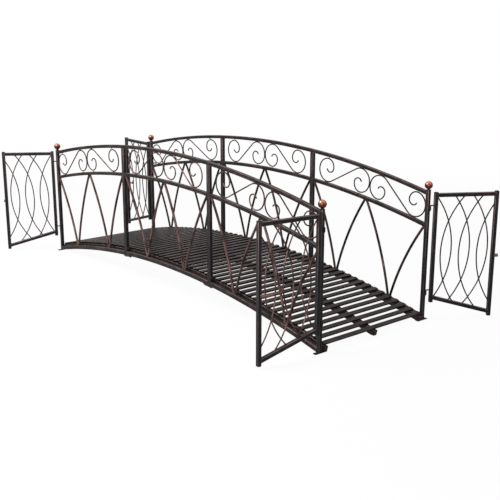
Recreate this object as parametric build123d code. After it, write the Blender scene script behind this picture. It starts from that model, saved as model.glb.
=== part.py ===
from build123d import *
from math import asin, atan, atan2, ceil, cos, degrees, hypot, radians, sin, sqrt
import os

# An arched garden bridge with scrolled railings and two pairs of gates.
# Sizes are in millimetres. X runs along the bridge, Y across it and Z up.
# The origin is on the ground under the middle of the deck.
# Front is the -Y side, left is the -X end.

# The whole bridge
SPAN = 2600.0             # between the centres of the end posts
WIDTH = 772.0             # between the centres of the two railings
SEAT = 0.3                # gap left where one piece rests against another
SEAM = 0.3                # gap between the side panels where they are bolted

# Posts and rails
POST = 20.0               # square tube of the end posts
POST_TOP = 712.0
STILE = 13.0              # thin upright at each end of a side panel
RAIL_WIDE = 20.0          # all rails, measured across the bridge
TOP_RAIL = 20.0           # height of the top and middle rails
BOTTOM_RAIL = 25.0
TOP_END = 702.5           # upper edge of the top rail at the end posts
TOP_RISE = 146.2
MID_DROP = 172.0          # the middle rail follows the top rail this much lower
DECK_RISE = 153.4         # rise of the bottom rail, whose ends are at the ground

# Scrolls between the top and middle rails
SCROLL_ROD = 7.5
SCROLL_WELD = 0.6         # overlap where two scrolls are welded together
SCROLL_GAP = 45.0         # from a bay's last scroll to the stile beside it
SCROLL_CHORD = 22.5       # round rods are drawn as chords of about this many degrees
LOOP_SHARES = (1.0, 1.0, 0.93, 0.68, 0.41, 0.36)   # each turn's radius, outside in
LOOP_LAST_TURN = 70.0

# Bars below the middle rail
BAR = 14.0
BAR_BOW = 20.0            # how far a bar bows from a straight line
BAR_CHORDS = 6
VALLEY_MID = 190.0        # from the bay's centre to where two bars meet
VALLEY_IN = 218.0
VALLEY_OUT = 197.0

# Deck
BEAM_TALL = 35.0
BEAM_WIDE = 20.0
BEAM_INSET = 12.0         # clear gap between a railing and the side beam
BEAM_PAST = 12.0          # how far a beam's lower edge runs past the posts' centres
SLAT_COUNT = 51
SLAT_WIDE = 25.0
SLAT_TALL = 11.0
SLAT_WALL = 1.5
SPACER_SIZE = 14.0
SPACER_PAST_JOINT = 47.0  # a spacer's distance from the joint of two side panels
SPACER_PAST_END = 84.0    # and from the centre of an end post

# Feet and splices
FOOT_THICK = 3.0
FOOT_TAB = 24.0           # how far a foot shows outside its post
FOOT_HOLE_R = 4.0
SPLICE_THICK = 6.0
SPLICE_LONG = 72.0
SPLICE_SHIFT = 15.0       # the splice is off the joint, towards the middle bay

# Finials
BALL_R = 21.0
BALL_Z = 735.0
NECK_R = 4.5

# Gates, measured from the hinge axis along the leaf
GATE_TUBE = 20.0
HINGE_STILE = 30.0        # centre of the stile next to the hinges
LEAF_WIDE = 330.0         # between the centres of the two stiles
GATE_TOP = 697.0
GATE_RAIL_TOP = 694.0
GATE_LOW_HINGE = 105.0
GATE_LOW_FREE = 16.0
SILL_HINGE = 130.0        # centre of the sloping rail at the hinge stile
SILL_FREE = 36.0
LATTICE_ROD = 7.0
LATTICE_STEP = 100.0
LATTICE_OUT = 98.0        # from the hinge stile to the first rod bowed away from it
LATTICE_OUT_R = 465.0
LATTICE_OUT_Z = 400.0     # height of that rod's widest point
LATTICE_IN = 40.0         # the same for the rods that bow towards the hinge stile
LATTICE_IN_R = 475.0
LATTICE_IN_Z = 366.0
LATTICE_COUNT = 3
LATTICE_CHORDS = 10
REST_ANGLES = {"front_left": 146.5, "back_left": 92.6,
               "front_right": 187.7, "back_right": 147.9}
SIDES = {"front_left": (-1, -1), "back_left": (-1, 1),
         "front_right": (1, -1), "back_right": (1, 1)}

# Hinges
PIN_R = 3.5
PIN_DROP = 30.0
PIN_CLEAR = 0.05
SLEEVE_R = 6.0
SLEEVE_TALL = 22.0
HINGE_HEIGHTS = (170.0, 630.0)

# Slide bolts and keepers
BOLT_Z = 355.0
BOLT_R = 5.5
BOLT_LONG = 124.0
BOLT_BACK = 6.0           # a bolt that is drawn back stops this far inside the leaf's edge
BOLT_HANDLE = 22.0
BOLT_TRAVEL = 40.0
BOLT_SLEEVE_R = 8.5
BOLT_SLEEVE_INSET = 8.0
BOLT_CLEAR = 0.5
KEEPER_R = 9.0
KEEPER_BORE_R = 7.8
KEEPER_LONG = 20.0

# Derived places
HALF = SPAN / 2
RAILING_Y = WIDTH / 2
POST_IN = HALF - POST / 2
POST_OUT = HALF + POST / 2
JOINT_X = SPAN / 6
BAY_X = SPAN / 3
HINGE_X = POST_OUT + SLEEVE_R
FREE_STILE = HINGE_STILE + LEAF_WIDE
LEAF_EDGE = FREE_STILE + GATE_TUBE / 2
BOLT_NOSE = LEAF_EDGE - BOLT_BACK
BOLT_TAIL = BOLT_NOSE - BOLT_LONG
BEAM_REACH = HALF + BEAM_PAST
BEAM_OUT_Y = RAILING_Y - RAIL_WIDE / 2 - BEAM_INSET
BEAM_Y = BEAM_OUT_Y - BEAM_WIDE / 2


def arch_radius(rise):
    """Radius of an arch that spans the end posts."""
    return (HALF ** 2 + rise ** 2) / (2 * rise)


TOP_R = arch_radius(TOP_RISE)
TOP_CROWN = TOP_END + TOP_RISE
DECK_R = arch_radius(DECK_RISE)
MID_CROWN = TOP_CROWN - MID_DROP


def arch_z(x, radius, crown):
    """Height of an arch over x."""
    return crown - radius + sqrt(radius ** 2 - x ** 2)


def slope_cos(x):
    """Cosine of the top rail's slope at x."""
    return cos(asin(x / TOP_R))


def disc(radius, crown):
    """Everything under an arch, as a disc in the side view."""
    return Pos(0, crown - radius) * Circle(radius)


def upright_strip(x0, x1):
    """A tall strip of the side view between two places along the bridge."""
    return Pos((x0 + x1) / 2, 0) * Rectangle(x1 - x0, 4 * TOP_CROWN)


def arch_band(x0, x1, radius, crown, depth):
    """A curved bar in the side view, below the arch that is named."""
    ring = disc(radius, crown) - disc(radius - depth, crown - depth)
    return upright_strip(x0, x1) & ring


def stand(sketch, thickness, y=0.0):
    """Give a side view its thickness and stand it up at y."""
    solid = extrude(sketch, amount=thickness / 2, both=True)
    return Pos(0, y, 0) * Rot(90, 0, 0) * solid


def mirrored(shapes):
    """The same shapes and their mirror images at the other end."""
    return shapes + [mirror(shape, about=Plane.YZ) for shape in shapes]


def save(name, solids):
    """Write one node."""
    flat = [solid for shape in solids for solid in shape.solids()]
    export_step(Compound(label=name, children=flat), f"parts/{name}.step")


def panel_ranges(inset):
    """Where the left, middle and right panels start and stop."""
    joint = JOINT_X + inset
    return [(-POST_IN, -joint), (inset - JOINT_X, JOINT_X - inset), (joint, POST_IN)]


# Railings
def rails(radius, crown, depth, inset, y):
    """One rail in three lengths, one for each side panel."""
    spans = panel_ranges(inset)
    return [stand(arch_band(a, b, radius, crown, depth), RAIL_WIDE, y) for a, b in spans]


def stiles(y):
    """Thin uprights, bolted in pairs where the side panels meet."""
    under_top = disc(TOP_R - TOP_RAIL, TOP_CROWN - TOP_RAIL)
    field = under_top - disc(DECK_R, DECK_RISE)
    inner = JOINT_X - SEAM / 2
    outer = JOINT_X + SEAM / 2
    pair = [upright_strip(inner - STILE, inner) & field,
            upright_strip(outer, outer + STILE) & field]
    return mirrored([stand(face, RAIL_WIDE, y) for face in pair])


def frieze_z(x):
    """Half way between the top rail and the middle rail."""
    upper = arch_z(x, TOP_R - TOP_RAIL, TOP_CROWN - TOP_RAIL)
    return (upper + arch_z(x, TOP_R, MID_CROWN)) / 2


def loop_radius(x):
    """Largest loop that fits between the two rails at x."""
    clear = MID_DROP * slope_cos(x) - TOP_RAIL
    return (clear - SCROLL_ROD) / 2 - SEAT


def ring_band(centre, radius, width, start, end, steps):
    """A stretch of a round rod seen from the side, as chords between two angles."""
    outline = []
    for reach, order in ((radius + width / 2, 1), (radius - width / 2, -1)):
        turns = [start + (end - start) * i / steps for i in range(steps + 1)][::order]
        outline += [centre + on_circle(reach, turn) for turn in turns]
    return outline


def on_circle(radius, angle):
    """A point at an angle in degrees on a circle about the origin."""
    return Vector(radius * cos(radians(angle)), radius * sin(radians(angle)))


def scroll_half(reach, radius):
    """Both edges of the right half of a scroll: a tangent and a tightening curl."""
    lean = degrees(asin(radius / reach))
    centre, angle, old = Vector(reach, 0), 90 + lean, radius
    outer, inner = [], []
    turns = (lean, 90, 90, 90, 90, LOOP_LAST_TURN)
    for share, turn in zip(LOOP_SHARES, turns):
        new = radius * share
        centre = centre + on_circle(old - new, angle)
        steps = ceil(turn / SCROLL_CHORD)
        band = ring_band(centre, new, SCROLL_ROD, angle, angle - turn, steps)
        outer += band[:steps + 1]
        inner += band[:steps:-1]
        angle, old = angle - turn, new
    return outer, inner


def scroll_face(reach, radius):
    """A whole scroll: the half is turned about its middle to give the other half."""
    outer, inner = scroll_half(reach, radius)
    edge = outer + inner[::-1]
    edge += [-point for point in edge]
    return make_face(Polyline(*thinned(edge), close=True))


def thinned(points):
    """The same outline without points that repeat."""
    kept = []
    for point in points:
        if not kept or (point - kept[-1]).length > SEAT / 10:
            kept.append(point)
    return kept


def place_scroll(face, x, reach):
    """Set a scroll in the frieze so that its loops lie between the rails."""
    dx = reach * slope_cos(x)
    low, high = frieze_z(x - dx), frieze_z(x + dx)
    tilt = degrees(atan2(high - low, 2 * dx))
    return Pos(x, (low + high) / 2) * Rot(0, 0, tilt) * face


def scroll_pair(touch, reach, radius):
    """Two scrolls that mirror each other and meet where their loops touch."""
    face = scroll_face(reach, radius)
    half = reach + radius + (SCROLL_ROD - SCROLL_WELD) / 2
    pair = Sketch()
    for side in (-1, 1):
        x = touch + side * half * slope_cos(touch + side * half)
        turned = mirror(face, about=Plane.YZ) if side > 0 else face
        pair += place_scroll(turned, x, reach)
    return pair


def scroll_reach(room, radius):
    """From a scroll's centre to each loop's, so that the scrolls fill their room."""
    return room / 2 - radius - SCROLL_ROD / 2


def scrolls(y):
    """The scrolls of the left, middle and right bays."""
    wall = JOINT_X - SEAM / 2 - STILE
    radius = loop_radius(wall)
    middle = scroll_pair(0, scroll_reach(wall - SCROLL_GAP, radius), radius)
    far = POST_IN - MID_DROP / 2
    radius = loop_radius(far)
    room = POST_IN - SEAT - (JOINT_X + SEAM / 2 + STILE + SCROLL_GAP)
    slope = slope_cos(JOINT_X + room / 2)
    reach = scroll_reach(room / slope / 2, radius)
    outer = POST_IN - SEAT - SCROLL_ROD / 2 - radius - reach * slope_cos(far - reach)
    weld = (SCROLL_ROD - SCROLL_WELD) / 2
    touch = outer - (reach + radius + weld) * slope_cos(outer - radius)
    end = stand(scroll_pair(touch, reach, radius), SCROLL_ROD, y)
    return [mirror(end, about=Plane.YZ), stand(middle, SCROLL_ROD, y), end]


def bowed_bar(foot, head):
    """A bar that bows upwards from the line between foot and head, drawn too long."""
    along = head - foot
    normal = Vector(-along.Y, along.X).normalized()
    if normal.Y < 0:
        normal = -normal
    half = along.length / 2
    radius = (half ** 2 + BAR_BOW ** 2) / (2 * BAR_BOW)
    centre = (foot + head) / 2 - normal * (radius - BAR_BOW)
    middle = degrees(atan2(normal.Y, normal.X))
    spread = degrees(asin((half + BAR) / radius))
    outline = ring_band(centre, radius, BAR, middle - spread, middle + spread, BAR_CHORDS)
    return make_face(Polyline(*outline, close=True))


def valley_bars(valley, low, high):
    """The two bars that rise from one valley, between walls at low and high."""
    under_mid = disc(TOP_R - TOP_RAIL, MID_CROWN - TOP_RAIL)
    field = under_mid - disc(DECK_R + BOTTOM_RAIL, DECK_RISE + BOTTOM_RAIL)
    bars = []
    for wall in (low, high):
        side = 1 if wall > valley else -1
        near, top = valley + side * BAR / 2, wall - side * BAR / 2
        foot = Vector(near, arch_z(near, DECK_R + BOTTOM_RAIL, DECK_RISE + BOTTOM_RAIL))
        head = Vector(top, arch_z(top, TOP_R - TOP_RAIL, MID_CROWN - TOP_RAIL))
        room = upright_strip(*sorted((valley + side * SEAM / 2, wall)))
        bars.append(bowed_bar(foot, head) & field & room)
    return bars


def braces(y):
    """Four bars in each bay, in the shape of two V letters."""
    wall = JOINT_X + SEAM / 2 + STILE
    peak = SEAM / 2
    middle = mirrored([stand(face, BAR, y)
                       for face in valley_bars(VALLEY_MID, peak, JOINT_X * 2 - wall)])
    faces = valley_bars(BAY_X - VALLEY_IN, wall, BAY_X - peak)
    faces += valley_bars(BAY_X + VALLEY_OUT, BAY_X + peak, POST_IN)
    right = [stand(face, BAR, y) for face in faces]
    return [[mirror(bar, about=Plane.YZ) for bar in right], middle, right]


def save_railing(side, y):
    """All the nodes of one railing."""
    save(f"{side}_top_rail", rails(TOP_R, TOP_CROWN, TOP_RAIL, SEAM / 2, y))
    inset = SEAM / 2 + STILE
    save(f"{side}_middle_rail", rails(TOP_R, MID_CROWN, TOP_RAIL, inset, y))
    bottom = (DECK_R + BOTTOM_RAIL, DECK_RISE + BOTTOM_RAIL, BOTTOM_RAIL)
    save(f"{side}_bottom_rail", rails(*bottom, inset, y))
    save(f"{side}_stiles", stiles(y))
    for bay, pair, bars in zip(("left", "middle", "right"), scrolls(y), braces(y)):
        save(f"{side}_scrolls_{bay}", [pair])
        save(f"{side}_braces_{bay}", bars)


# Deck
def beam(y):
    """One of the three curved beams, cut square to the arch at its ends."""
    band = disc(DECK_R + BEAM_TALL, DECK_RISE + BEAM_TALL) - disc(DECK_R, DECK_RISE)
    centre_z = DECK_RISE - DECK_R
    reach = 2 * BEAM_REACH
    drop = sqrt(DECK_R ** 2 - BEAM_REACH ** 2) * 2
    wedge = Polygon((0, centre_z), (reach, centre_z + drop), (-reach, centre_z + drop),
                    align=None)
    above = Pos(0, FOOT_THICK + TOP_CROWN) * Rectangle(4 * HALF, 2 * TOP_CROWN)
    return stand(band & wedge & above, BEAM_WIDE, y)


def slat_section():
    """The open end of a slat, a thin rectangular tube."""
    inside = Rectangle(SLAT_WIDE - 2 * SLAT_WALL, SLAT_TALL - 2 * SLAT_WALL)
    return Rectangle(SLAT_WIDE, SLAT_TALL) - inside


def slats():
    """Slats at an even pitch, the last ones flush with the posts."""
    top = DECK_R + BEAM_TALL + SLAT_TALL
    half = SLAT_WIDE / 2
    last = asin(POST_OUT / hypot(top, half)) - atan(half / top)
    steps = (SLAT_COUNT - 1) // 2
    middle = top - SLAT_TALL / 2
    made = []
    for i in range(-steps, steps + 1):
        turn = last * i / steps
        x, z = middle * sin(turn), middle * cos(turn) + DECK_RISE - DECK_R
        face = Pos(x, z) * Rot(0, 0, -degrees(turn)) * slat_section()
        made.append(stand(face, 2 * BEAM_OUT_Y))
    return made


def spacers():
    """Short square blocks that hold the side beams off the railings."""
    made = []
    for x in (JOINT_X - SPACER_PAST_JOINT, HALF - SPACER_PAST_END):
        z = arch_z(x, DECK_R, DECK_RISE) + BOTTOM_RAIL / 2
        y = RAILING_Y - (RAIL_WIDE + BEAM_INSET) / 2
        made.append(Pos(x, y, z) * Box(SPACER_SIZE, BEAM_INSET, SPACER_SIZE))
    return four_corners(made)


def four_corners(shapes):
    """The same shapes at all four corners of the bridge."""
    both = shapes + [mirror(shape, about=Plane.XZ) for shape in shapes]
    return mirrored(both)


def feet():
    """Flat plates under the posts and side beams, each with an anchor hole."""
    low, high = BEAM_OUT_Y - BEAM_WIDE, RAILING_Y + POST / 2 + FOOT_TAB
    long = BEAM_REACH - POST_IN
    at = Pos(POST_IN + long / 2, 0, FOOT_THICK / 2)
    plate = at * Pos(0, (low + high) / 2, 0) * Box(long, high - low, FOOT_THICK)
    hole = at * Pos(0, high - FOOT_TAB / 2, 0) * Cylinder(FOOT_HOLE_R, 2 * FOOT_THICK)
    return four_corners([plate - hole])


def splices():
    """Curved plates under the bottom rail at the joints of the side panels."""
    middle = JOINT_X - SPLICE_SHIFT
    face = arch_band(middle - SPLICE_LONG / 2, middle + SPLICE_LONG / 2,
                     DECK_R, DECK_RISE, SPLICE_THICK)
    return four_corners([stand(face, RAIL_WIDE, RAILING_Y)])


# End posts
def end_posts():
    """Square posts that stand on the feet."""
    tall = POST_TOP - FOOT_THICK
    post = Pos(HALF, RAILING_Y, FOOT_THICK + tall / 2) * Box(POST, POST, tall)
    return four_corners([post])


def finials():
    """A ball on a short neck on each end post."""
    rise = BALL_Z - POST_TOP
    neck = Pos(0, 0, POST_TOP + rise / 2) * Cylinder(NECK_R, rise)
    ball = Pos(0, 0, BALL_Z) * Sphere(BALL_R)
    return four_corners([Pos(HALF, RAILING_Y, 0) * (neck + ball)])


def hinge_sleeves():
    """Short tubes on the posts that take the gates' hinge pins."""
    made = []
    for leg in HINGE_HEIGHTS:
        z = leg - PIN_R - SEAT - SLEEVE_TALL / 2
        tube = Cylinder(SLEEVE_R, SLEEVE_TALL) - Cylinder(PIN_R + PIN_CLEAR, 2 * SLEEVE_TALL)
        made.append(Pos(HINGE_X, RAILING_Y, z) * tube)
    return four_corners(made)


# Gates, drawn with the hinge axis at the origin and the leaf along X
def sill_z(s):
    """Height of the sloping bottom rail's centre along the leaf."""
    share = (s - HINGE_STILE) / (FREE_STILE - HINGE_STILE)
    return SILL_HINGE + (SILL_FREE - SILL_HINGE) * share


def leaf_frame():
    """Side view of the four tubes that frame a leaf."""
    half = GATE_TUBE / 2
    tops = Pos((HINGE_STILE + FREE_STILE) / 2, GATE_RAIL_TOP - half) * Rectangle(
        FREE_STILE - HINGE_STILE, GATE_TUBE)
    thick = half * hypot(FREE_STILE - HINGE_STILE, SILL_FREE - SILL_HINGE)
    thick = thick / (FREE_STILE - HINGE_STILE)
    sill = Polygon((HINGE_STILE, SILL_HINGE - thick), (FREE_STILE, SILL_FREE - thick),
                   (FREE_STILE, SILL_FREE + thick), (HINGE_STILE, SILL_HINGE + thick),
                   align=None)
    frame = tops + sill
    for s, low in ((HINGE_STILE, GATE_LOW_HINGE), (FREE_STILE, GATE_LOW_FREE)):
        frame += Pos(s, (low + GATE_TOP) / 2) * Rectangle(GATE_TUBE, GATE_TOP - low)
    return frame


def leaf_opening():
    """The space inside the leaf's frame, up to the centres of its tubes."""
    return Polygon((HINGE_STILE, sill_z(HINGE_STILE)), (FREE_STILE, sill_z(FREE_STILE)),
                   (FREE_STILE, GATE_RAIL_TOP - GATE_TUBE / 2),
                   (HINGE_STILE, GATE_RAIL_TOP - GATE_TUBE / 2), align=None)


def lattice():
    """Side view of the bowed rods that cross each other inside the frame."""
    rods = Sketch()
    rows = ((LATTICE_OUT, LATTICE_OUT_R, LATTICE_OUT_Z, 1),
            (LATTICE_IN, LATTICE_IN_R, LATTICE_IN_Z, -1))
    for first, radius, z, bow in rows:
        spread = degrees(asin((GATE_TOP - GATE_TUBE) / 2 / radius))
        middle = 0 if bow > 0 else 180
        for i in range(LATTICE_COUNT):
            apex = HINGE_STILE + first + i * LATTICE_STEP
            outline = ring_band(Vector(apex - bow * radius, z), radius, LATTICE_ROD,
                                middle - spread, middle + spread, LATTICE_CHORDS)
            rods += make_face(Polyline(*outline, close=True))
    return rods & leaf_opening()


def leaf():
    """The welded leaf: its frame and its lattice."""
    return stand(leaf_frame(), GATE_TUBE) + stand(lattice(), LATTICE_ROD)


def bent_rod(radius, points):
    """A round rod along straight lines, mitred where it bends."""
    start = Plane(points[0], z_dir=Vector(*points[1]) - Vector(*points[0]))
    return sweep(start * Circle(radius), Polyline(*points), transition=Transition.RIGHT)


def hinge_pins():
    """Two bent pins that hang in the sleeves."""
    reach = HINGE_STILE - GATE_TUBE / 2
    return [bent_rod(PIN_R, [(0, 0, leg - PIN_DROP), (0, 0, leg), (reach, 0, leg)])
            for leg in HINGE_HEIGHTS]


def along_leaf(start, end, offset, outer, bore=0.0):
    """A round bar or tube that lies along a leaf, beside it."""
    bar = Cylinder(outer, end - start)
    if bore:
        bar -= Cylinder(bore, 2 * (end - start))
    return Pos((start + end) / 2, offset, BOLT_Z) * Rot(0, 90, 0) * bar


def bolt_sleeve(offset):
    """The tube that a bolt slides in; the bolt's handle stops against it."""
    start = BOLT_TAIL + 2 * BOLT_R + BOLT_TRAVEL + BOLT_R
    end = LEAF_EDGE - BOLT_SLEEVE_INSET
    return along_leaf(start, end, offset, BOLT_SLEEVE_R, BOLT_R + BOLT_CLEAR)


def slide_bolt(offset):
    """A round bolt with its tail bent up as a handle."""
    bend = BOLT_TAIL + BOLT_R
    return bent_rod(BOLT_R, [(BOLT_NOSE, offset, BOLT_Z), (bend, offset, BOLT_Z),
                             (bend, offset, BOLT_Z + BOLT_HANDLE)])


def keeper(offset):
    """The ring on the other leaf that the bolt runs into."""
    return along_leaf(FREE_STILE, FREE_STILE + KEEPER_LONG, offset, KEEPER_R, KEEPER_BORE_R)


def place_gate(name, shapes):
    """Turn pieces of a leaf to the angle at which its gate stands open."""
    end, side = SIDES[name]
    turn = -90 * side + end * side * REST_ANGLES[name]
    at = Pos(end * HINGE_X, side * RAILING_Y, 0) * Rot(0, 0, turn)
    return [at * shape for shape in shapes]


def save_gate(name):
    """The leaf, its hinge pins and its half of the latch."""
    end, side = SIDES[name]
    deck_side = -end * side
    save(f"{name}_leaf", place_gate(name, [leaf()]))
    save(f"{name}_hinge_pins", place_gate(name, hinge_pins()))
    if deck_side > 0:
        offset = GATE_TUBE / 2 + BOLT_SLEEVE_R
        save(f"{name}_bolt_sleeve", place_gate(name, [bolt_sleeve(offset)]))
        save(f"{name}_slide_bolt", place_gate(name, [slide_bolt(offset)]))
    else:
        offset = -GATE_TUBE / 2 - KEEPER_R
        save(f"{name}_keeper", place_gate(name, [keeper(offset)]))


def main():
    """Build and write every node."""
    os.makedirs("parts", exist_ok=True)
    for side, y in (("front", -RAILING_Y), ("back", RAILING_Y)):
        save_railing(side, y)
    for side, y in (("front", -BEAM_Y), ("centre", 0.0), ("back", BEAM_Y)):
        save(f"{side}_beam", [beam(y)])
    made = slats()
    third = len(made) // 3
    for i, bay in enumerate(("left", "middle", "right")):
        save(f"slats_{bay}", made[i * third:(i + 1) * third])
    save("spacers", spacers())
    save("feet", feet())
    save("splices", splices())
    save("end_posts", end_posts())
    save("finials", finials())
    save("hinge_sleeves", hinge_sleeves())
    for name in SIDES:
        save_gate(name)


main()
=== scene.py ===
import random
from math import asin, atan, ceil, cos, degrees, hypot, pi, radians, sin, sqrt

import bmesh
import bpy
from mathutils import Matrix, Vector


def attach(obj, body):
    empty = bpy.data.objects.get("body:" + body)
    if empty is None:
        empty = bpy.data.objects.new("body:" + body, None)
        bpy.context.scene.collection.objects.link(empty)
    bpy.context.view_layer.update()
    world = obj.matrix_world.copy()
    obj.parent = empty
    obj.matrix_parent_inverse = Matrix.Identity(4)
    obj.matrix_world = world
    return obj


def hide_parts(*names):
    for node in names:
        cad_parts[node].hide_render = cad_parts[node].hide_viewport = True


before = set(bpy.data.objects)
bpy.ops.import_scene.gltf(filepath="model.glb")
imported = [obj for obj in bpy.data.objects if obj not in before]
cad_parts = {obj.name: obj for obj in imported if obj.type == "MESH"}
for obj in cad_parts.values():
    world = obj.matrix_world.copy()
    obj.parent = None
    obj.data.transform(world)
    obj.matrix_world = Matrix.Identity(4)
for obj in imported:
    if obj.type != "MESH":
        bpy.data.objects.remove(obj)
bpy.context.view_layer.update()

# An arched garden bridge of rubbed dark metal, with scrolled railings and four lattice gates.
# Sizes are in millimetres, as in the part's source, and each mesh is brought to metres at the end.
# Bars are drawn in the side view: X along the bridge, Z up, and Y across.

MM = 0.001
ACROSS = Vector((0, 1, 0))
UP = Vector((0, 0, 1))

# The whole bridge
HALF = 1300.0             # from the middle to the axis of an end post
RAILING_Y = 386.0         # from the middle line to the middle of a railing
SEAM = 0.3                # gap where two pieces meet
SINK = 0.5                # how far a bar goes into the one that carries it
BAYS = ("left", "middle", "right")
POST = 20.0
POST_TOP = 712.0
POST_IN = HALF - POST / 2
POST_OUT = HALF + POST / 2
STILE = 13.0              # along the bridge
STILE_LIFT = 1.0          # its foot, above the deck's arch
STILE_SINK = 2.0          # its head, inside the top rail
RAIL_WIDE = 20.0
TOP_RAIL = 20.0
BOTTOM_RAIL = 25.0
TOP_END = 702.5           # height of the top rail at the end posts
TOP_RISE = 146.2          # how much higher it is in the middle
MID_DROP = 172.0          # from the top rail's upper edge to the middle rail's
DECK_RISE = 153.4
JOINT_X = HALF / 3        # where a side bay meets the middle one
BAY_X = 2 * HALF / 3      # the middle of a side bay
STILE_IN = JOINT_X - SEAM / 2 - STILE   # the stile's face in the middle bay
STILE_OUT = JOINT_X + SEAM / 2 + STILE  # the one in the side bay

# The shallow lid of an end post, on a slimmer core
POST_BODY_TOP = POST_TOP - 3.0
LID_LOW = POST_TOP - 2.6
CORE_LOW = POST_TOP - 3.5
CORE_TOP = POST_TOP - 2.0
CORE = POST - 2.0

# Scrolls
SCROLL_ROD = 7.5
SCROLL_WELD = 0.6         # how deep two scrolls are pushed into each other
SCROLL_GAP = 45.0         # from a scroll pair to the stile beside it
# A curl tightens in steps: the radius of each, as a share of the loop's, and its turn in degrees
LOOP_SHARES = (1.0, 0.93, 0.68, 0.41, 0.36)
LOOP_TURNS = (90, 90, 90, 90, 70)

# Bars below the middle rail
BAR = 14.0
BAR_BOW = 20.0
BAR_BURIED = 5.0          # how far past its ends a bar is drawn, inside the rails
VALLEY_MID = 190.0        # a valley is where two bars meet on the bottom rail
VALLEY_IN = 218.0
VALLEY_OUT = 197.0

# Deck
BEAM_TALL = 35.0
BEAM_WIDE = 20.0
BEAM_INSET = 12.0
BEAM_REACH = HALF + 12.0  # from the middle to a beam's end
BEAM_OUT_Y = RAILING_Y - RAIL_WIDE / 2 - BEAM_INSET
BEAM_Y = BEAM_OUT_Y - BEAM_WIDE / 2
SLAT_COUNT = 51
SLAT_WIDE = 25.0
SLAT_TALL = 11.0
SLAT_WALL = 1.5
SLAT_CORNER = 1.6
SLAT_CLEAR = 0.01
SPACER = 14.0
SPACER_SIDES = 16
SPACER_XS = (JOINT_X - 47.0, HALF - 84.0)

# Feet and splices
FOOT_THICK = 3.0
FOOT_TAB = 24.0           # how far a foot shows outside its post
FOOT_HOLE_R = 4.0
FOOT_CORNER = 3.0
SPLICE_THICK = 6.0
SPLICE_LONG = 72.0
SPLICE_X = JOINT_X - 15.0
SPLICE_CORNER = 1.0

# Finials
BALL_R = 21.0
BALL_Z = 735.0
BALL_SIDES = 40
BALL_RINGS = 26
NECK_R = 4.5
NECK_SEAT_R = NECK_R + 3.0
NECK_SEAT_TALL = 2.0
NECK_FLARE = 3.5          # height over which the neck narrows, from its foot

# Gates, measured from the hinge axis along the leaf
TUBE = 20.0
HINGE_STILE = 30.0
FREE_STILE = 360.0
LEAF_EDGE = FREE_STILE + TUBE / 2
GATE_TOP = 697.0
GATE_RAIL_TOP = 694.0
GATE_LOW_HINGE = 105.0
GATE_LOW_FREE = 16.0
SILL_HINGE = 130.0        # height of the slanting sill at each stile
SILL_FREE = 36.0
LATTICE_ROD = 7.0
LATTICE_SIDES = 10
LATTICE_STEP = 100.0
LATTICE_END = 8.0         # from a stile's middle line to the end of a rod
LATTICE_COUNT = 3
# Each row of rods: the first one's place, its radius, the height of its middle and its bow
LATTICE_ROWS = ((98.0, 465.0, 400.0, 1), (40.0, 475.0, 366.0, -1))
# How far each gate stands open in the photograph, in degrees from straight across the walkway
REST_ANGLES = {"front_left": 146.5, "back_left": 92.6,
               "front_right": 187.7, "back_right": 147.9}
SIDES = {"front_left": (-1, -1), "back_left": (-1, 1),
         "front_right": (1, -1), "back_right": (1, 1)}

# Hinges and latches
SLEEVE_R = 6.0
SLEEVE_TALL = 22.0
HINGE_X = POST_OUT + SLEEVE_R
HINGE_HEIGHTS = (170.0, 630.0)
PIN_R = 3.5
PIN_DROP = 30.0
PIN_BEND = 6.0
PIN_CLEAR = 0.05
PIN_SIDES = 16
BOLT_Z = 355.0
BOLT_R = 5.5
BOLT_NOSE = LEAF_EDGE - 6.0  # where the bolt begins when it is drawn back
BOLT_LONG = 124.0
BOLT_TAIL = BOLT_NOSE - BOLT_LONG
BOLT_HANDLE = 22.0
BOLT_BEND = 8.0
BOLT_TRAVEL = 40.0
BOLT_SLEEVE_R = 8.5
BOLT_SLEEVE_END = LEAF_EDGE - 8.0
BOLT_BORE_R = 6.0
KEEPER_R = 9.0
KEEPER_BORE_R = 7.8
KEEPER_LONG = 20.0
LATCH_SIDES = 28
RIM_CHAMFER = 0.6         # on the rims of sleeves and keepers

# Screws, welds and caps
HEAD_WIDE = 10.0          # across the flats
HEAD_TALL = 4.0
HEAD_CHAMFER = 1.0
NUT_TALL = 5.0
WASHER_R = 6.5
WASHER_TALL = 1.0
THREAD_R = 3.0
THREAD_SHOWS = 2.5        # how far it stands out of its nut
THREAD_CHAMFER = 0.8
THREAD_SIDES = 14
STILE_BOLT_HEIGHTS = (183.0, 778.0)
SPLICE_BOLT = 22.0        # from the splice's middle to each of its bolts
CAP_TALL = 3.0
CAP_GAP = 0.6
CAP_ROUND = 2.2
CAP_LIFT = 0.1
BRACE_WELD = (10.0, 3.5)  # half its width, and how far it climbs
SCROLL_WELD_SIZE = (6.0, 2.6)
LATTICE_WELD = (5.5, 3.2)
CROSSING_WELD = (4.2, 7.0)
WELD_UNEVEN = (0.88, 1.08)
WELD_SCAN = range(60, 690, 2)

# How finely things are drawn
CORNER = 2.0              # rounded corner of the square tubes
CORNER_STEPS = 3
ROD_SIDES = 12
ROUND_SIDES = 24          # of washers, sleeves, necks and holes
TIGHT = 200.0             # a bend under this radius counts as a curl
ARC_STEP = 9.0            # degrees to a step in a curl
LONG_STEP = 26.0          # millimetres to a step in a long, shallow arc
GRAIN_SHIFT = 4000.0      # each bar starts elsewhere in its pattern, up to this far on
SAME_POINT = 0.001
SAME_ROD_POINT = 0.01
SHARP = radians(38)

random.seed(7)


def arch_radius(rise):
    """Radius of an arch that spans the end posts."""
    return (HALF ** 2 + rise ** 2) / (2 * rise)


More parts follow.
